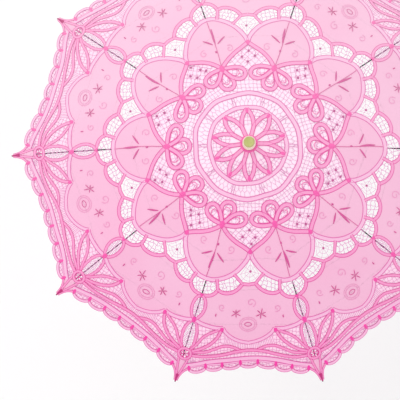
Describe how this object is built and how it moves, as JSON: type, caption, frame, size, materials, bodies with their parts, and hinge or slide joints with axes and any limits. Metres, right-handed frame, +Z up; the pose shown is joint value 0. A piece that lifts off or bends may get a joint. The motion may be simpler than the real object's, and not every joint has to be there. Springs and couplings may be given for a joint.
{
  "type": "lace parasol",
  "caption": "Open lace parasol: ribbed steel frame, turned wood shaft, handle and finial, and a domed cotton lace canopy with pointed corners.",
  "frame": {"origin": "centre of the handle's flat butt, on the shaft's axis, below the middle of the canopy", "axes": "+Z up the shaft from the handle to the finial; +X along rib 0; the ribs follow every 36 degrees, counter-clockwise from above"},
  "size_m": [0.801, 0.762, 0.66],
  "materials": {
    "varnished_wood": "varnished, satin",
    "finial_wood": "olive-tan, turned and lacquered",
    "hub_wood": "turned, clear lacquer",
    "brass_collar": "polished, slightly dulled",
    "steel_wire": "drawn wire",
    "rib_steel": "blackened steel",
    "spring_steel": "spring strip",
    "tip_metal": "dark lacquer",
    "felt_washer": "felt",
    "cotton_cloth": "plain-weave cotton with embroidery",
    "lace": "woven tape and needle lace, cotton",
    "lace_knots": "dense stitched tape, deeper pink"
  },
  "bodies": {
    "frame": {"shaft": "varnished_wood", "handle": "varnished_wood", "handle_collar": "brass_collar", "finial": "finial_wood", "crown_hub": "hub_wood", "crown_wire": "steel_wire", "crown_washer": "felt_washer", "crown_pin": "steel_wire", "stop_pin": "steel_wire", "canopy_cap": "cotton_cloth"},
    "rib_body_0": {"rib_0": "rib_steel", "rib_tip_0": "tip_metal", "canopy_sector_0": "lace"},
    "stretcher_body_0": {"stretcher_0": "rib_steel"},
    "rib_body_1": {"rib_1": "rib_steel", "rib_tip_1": "tip_metal", "canopy_sector_1": "lace"},
    "stretcher_body_1": {"stretcher_1": "rib_steel"},
    "rib_body_2": {"rib_2": "rib_steel", "rib_tip_2": "tip_metal", "canopy_sector_2": "lace"},
    "stretcher_body_2": {"stretcher_2": "rib_steel"},
    "rib_body_3": {"rib_3": "rib_steel", "rib_tip_3": "tip_metal", "canopy_sector_3": "lace"},
    "stretcher_body_3": {"stretcher_3": "rib_steel"},
    "rib_body_4": {"rib_4": "rib_steel", "rib_tip_4": "tip_metal", "canopy_sector_4": "lace"},
    "stretcher_body_4": {"stretcher_4": "rib_steel"},
    "rib_body_5": {"rib_5": "rib_steel", "rib_tip_5": "tip_metal", "canopy_sector_5": "lace"},
    "stretcher_body_5": {"stretcher_5": "rib_steel"},
    "rib_body_6": {"rib_6": "rib_steel", "rib_tip_6": "tip_metal", "canopy_sector_6": "lace"},
    "stretcher_body_6": {"stretcher_6": "rib_steel"},
    "rib_body_7": {"rib_7": "rib_steel", "rib_tip_7": "tip_metal", "canopy_sector_7": "lace"},
    "stretcher_body_7": {"stretcher_7": "rib_steel"},
    "rib_body_8": {"rib_8": "rib_steel", "rib_tip_8": "tip_metal", "canopy_sector_8": "lace"},
    "stretcher_body_8": {"stretcher_8": "rib_steel"},
    "rib_body_9": {"rib_9": "rib_steel", "rib_tip_9": "tip_metal", "canopy_sector_9": "lace"},
    "stretcher_body_9": {"stretcher_9": "rib_steel"},
    "runner_body": {"runner": "hub_wood", "runner_wire": "steel_wire"},
    "top_spring_body": {"top_spring": "spring_steel"},
    "lower_spring_body": {"lower_spring": "spring_steel"}
  },
  "joints": [
    {"name": "rib_hinge_0", "type": "hinge", "parent": "frame", "child": "rib_body_0", "pos_m": [0.0103, 0, 0.62637], "axis": [0, 1, 0], "range_deg": [0, 64], "deforming": ["canopy_sector_0", "top_spring", "lower_spring"]},
    {"name": "stretcher_hinge_0", "type": "hinge", "parent": "rib_body_0", "child": "stretcher_body_0", "pos_m": [0.17, 0, 0.57714], "axis": [0, 1, 0], "range_deg": [-128, 0]},
    {"name": "rib_hinge_1", "type": "hinge", "parent": "frame", "child": "rib_body_1", "pos_m": [0.00833, 0.00605, 0.62637], "axis": [-0.5878, 0.809, 0], "range_deg": [0, 64], "deforming": ["canopy_sector_1"]},
    {"name": "stretcher_hinge_1", "type": "hinge", "parent": "rib_body_1", "child": "stretcher_body_1", "pos_m": [0.13753, 0.09992, 0.57714], "axis": [-0.5878, 0.809, 0], "range_deg": [-128, 0]},
    {"name": "rib_hinge_2", "type": "hinge", "parent": "frame", "child": "rib_body_2", "pos_m": [0.00318, 0.0098, 0.62637], "axis": [-0.9511, 0.309, 0], "range_deg": [0, 64], "deforming": ["canopy_sector_2"]},
    {"name": "stretcher_hinge_2", "type": "hinge", "parent": "rib_body_2", "child": "stretcher_body_2", "pos_m": [0.05253, 0.16168, 0.57714], "axis": [-0.9511, 0.309, 0], "range_deg": [-128, 0]},
    {"name": "rib_hinge_3", "type": "hinge", "parent": "frame", "child": "rib_body_3", "pos_m": [-0.00318, 0.0098, 0.62637], "axis": [-0.9511, -0.309, 0], "range_deg": [0, 64], "deforming": ["canopy_sector_3"]},
    {"name": "stretcher_hinge_3", "type": "hinge", "parent": "rib_body_3", "child": "stretcher_body_3", "pos_m": [-0.05253, 0.16168, 0.57714], "axis": [-0.9511, -0.309, 0], "range_deg": [-128, 0]},
    {"name": "rib_hinge_4", "type": "hinge", "parent": "frame", "child": "rib_body_4", "pos_m": [-0.00833, 0.00605, 0.62637], "axis": [-0.5878, -0.809, 0], "range_deg": [0, 64], "deforming": ["canopy_sector_4"]},
    {"name": "stretcher_hinge_4", "type": "hinge", "parent": "rib_body_4", "child": "stretcher_body_4", "pos_m": [-0.13753, 0.09992, 0.57714], "axis": [-0.5878, -0.809, 0], "range_deg": [-128, 0]},
    {"name": "rib_hinge_5", "type": "hinge", "parent": "frame", "child": "rib_body_5", "pos_m": [-0.0103, 0, 0.62637], "axis": [0, -1, 0], "range_deg": [0, 64], "deforming": ["canopy_sector_5"]},
    {"name": "stretcher_hinge_5", "type": "hinge", "parent": "rib_body_5", "child": "stretcher_body_5", "pos_m": [-0.17, 0, 0.57714], "axis": [0, -1, 0], "range_deg": [-128, 0]},
    {"name": "rib_hinge_6", "type": "hinge", "parent": "frame", "child": "rib_body_6", "pos_m": [-0.00833, -0.00605, 0.62637], "axis": [0.5878, -0.809, 0], "range_deg": [0, 64], "deforming": ["canopy_sector_6"]},
    {"name": "stretcher_hinge_6", "type": "hinge", "parent": "rib_body_6", "child": "stretcher_body_6", "pos_m": [-0.13753, -0.09992, 0.57714], "axis": [0.5878, -0.809, 0], "range_deg": [-128, 0]},
    {"name": "rib_hinge_7", "type": "hinge", "parent": "frame", "child": "rib_body_7", "pos_m": [-0.00318, -0.0098, 0.62637], "axis": [0.9511, -0.309, 0], "range_deg": [0, 64], "deforming": ["canopy_sector_7"]},
    {"name": "stretcher_hinge_7", "type": "hinge", "parent": "rib_body_7", "child": "stretcher_body_7", "pos_m": [-0.05253, -0.16168, 0.57714], "axis": [0.9511, -0.309, 0], "range_deg": [-128, 0]},
    {"name": "rib_hinge_8", "type": "hinge", "parent": "frame", "child": "rib_body_8", "pos_m": [0.00318, -0.0098, 0.62637], "axis": [0.9511, 0.309, 0], "range_deg": [0, 64], "deforming": ["canopy_sector_8"]},
    {"name": "stretcher_hinge_8", "type": "hinge", "parent": "rib_body_8", "child": "stretcher_body_8", "pos_m": [0.05253, -0.16168, 0.57714], "axis": [0.9511, 0.309, 0], "range_deg": [-128, 0]},
    {"name": "rib_hinge_9", "type": "hinge", "parent": "frame", "child": "rib_body_9", "pos_m": [0.00833, -0.00605, 0.62637], "axis": [0.5878, 0.809, 0], "range_deg": [0, 64], "deforming": ["canopy_sector_9"]},
    {"name": "stretcher_hinge_9", "type": "hinge", "parent": "rib_body_9", "child": "stretcher_body_9", "pos_m": [0.13753, -0.09992, 0.57714], "axis": [0.5878, 0.809, 0], "range_deg": [-128, 0]},
    {"name": "runner_hinge", "type": "hinge", "parent": "stretcher_body_0", "child": "runner_body", "pos_m": [0.0103, 0, 0.5279], "axis": [0, 1, 0], "range_deg": [0, 64]},
    {"name": "top_spring_press", "type": "slide", "parent": "frame", "child": "top_spring_body", "axis": [-0.9511, -0.309, 0], "range_m": [0, 0.003], "stiffness_N_per_m": 400},
    {"name": "lower_spring_press", "type": "slide", "parent": "frame", "child": "lower_spring_body", "axis": [-0.9511, -0.309, 0], "range_m": [0, 0.003], "stiffness_N_per_m": 400}
  ],
  "couplings": [
    {"joint": "stretcher_hinge_0", "follows": "rib_hinge_0", "ratio": -2},
    {"joint": "rib_hinge_1", "follows": "rib_hinge_0", "ratio": 1},
    {"joint": "stretcher_hinge_1", "follows": "rib_hinge_0", "ratio": -2},
    {"joint": "rib_hinge_2", "follows": "rib_hinge_0", "ratio": 1},
    {"joint": "stretcher_hinge_2", "follows": "rib_hinge_0", "ratio": -2},
    {"joint": "rib_hinge_3", "follows": "rib_hinge_0", "ratio": 1},
    {"joint": "stretcher_hinge_3", "follows": "rib_hinge_0", "ratio": -2},
    {"joint": "rib_hinge_4", "follows": "rib_hinge_0", "ratio": 1},
    {"joint": "stretcher_hinge_4", "follows": "rib_hinge_0", "ratio": -2},
    {"joint": "rib_hinge_5", "follows": "rib_hinge_0", "ratio": 1},
    {"joint": "stretcher_hinge_5", "follows": "rib_hinge_0", "ratio": -2},
    {"joint": "rib_hinge_6", "follows": "rib_hinge_0", "ratio": 1},
    {"joint": "stretcher_hinge_6", "follows": "rib_hinge_0", "ratio": -2},
    {"joint": "rib_hinge_7", "follows": "rib_hinge_0", "ratio": 1},
    {"joint": "stretcher_hinge_7", "follows": "rib_hinge_0", "ratio": -2},
    {"joint": "rib_hinge_8", "follows": "rib_hinge_0", "ratio": 1},
    {"joint": "stretcher_hinge_8", "follows": "rib_hinge_0", "ratio": -2},
    {"joint": "rib_hinge_9", "follows": "rib_hinge_0", "ratio": 1},
    {"joint": "stretcher_hinge_9", "follows": "rib_hinge_0", "ratio": -2},
    {"joint": "runner_hinge", "follows": "rib_hinge_0", "ratio": 1}
  ]
}
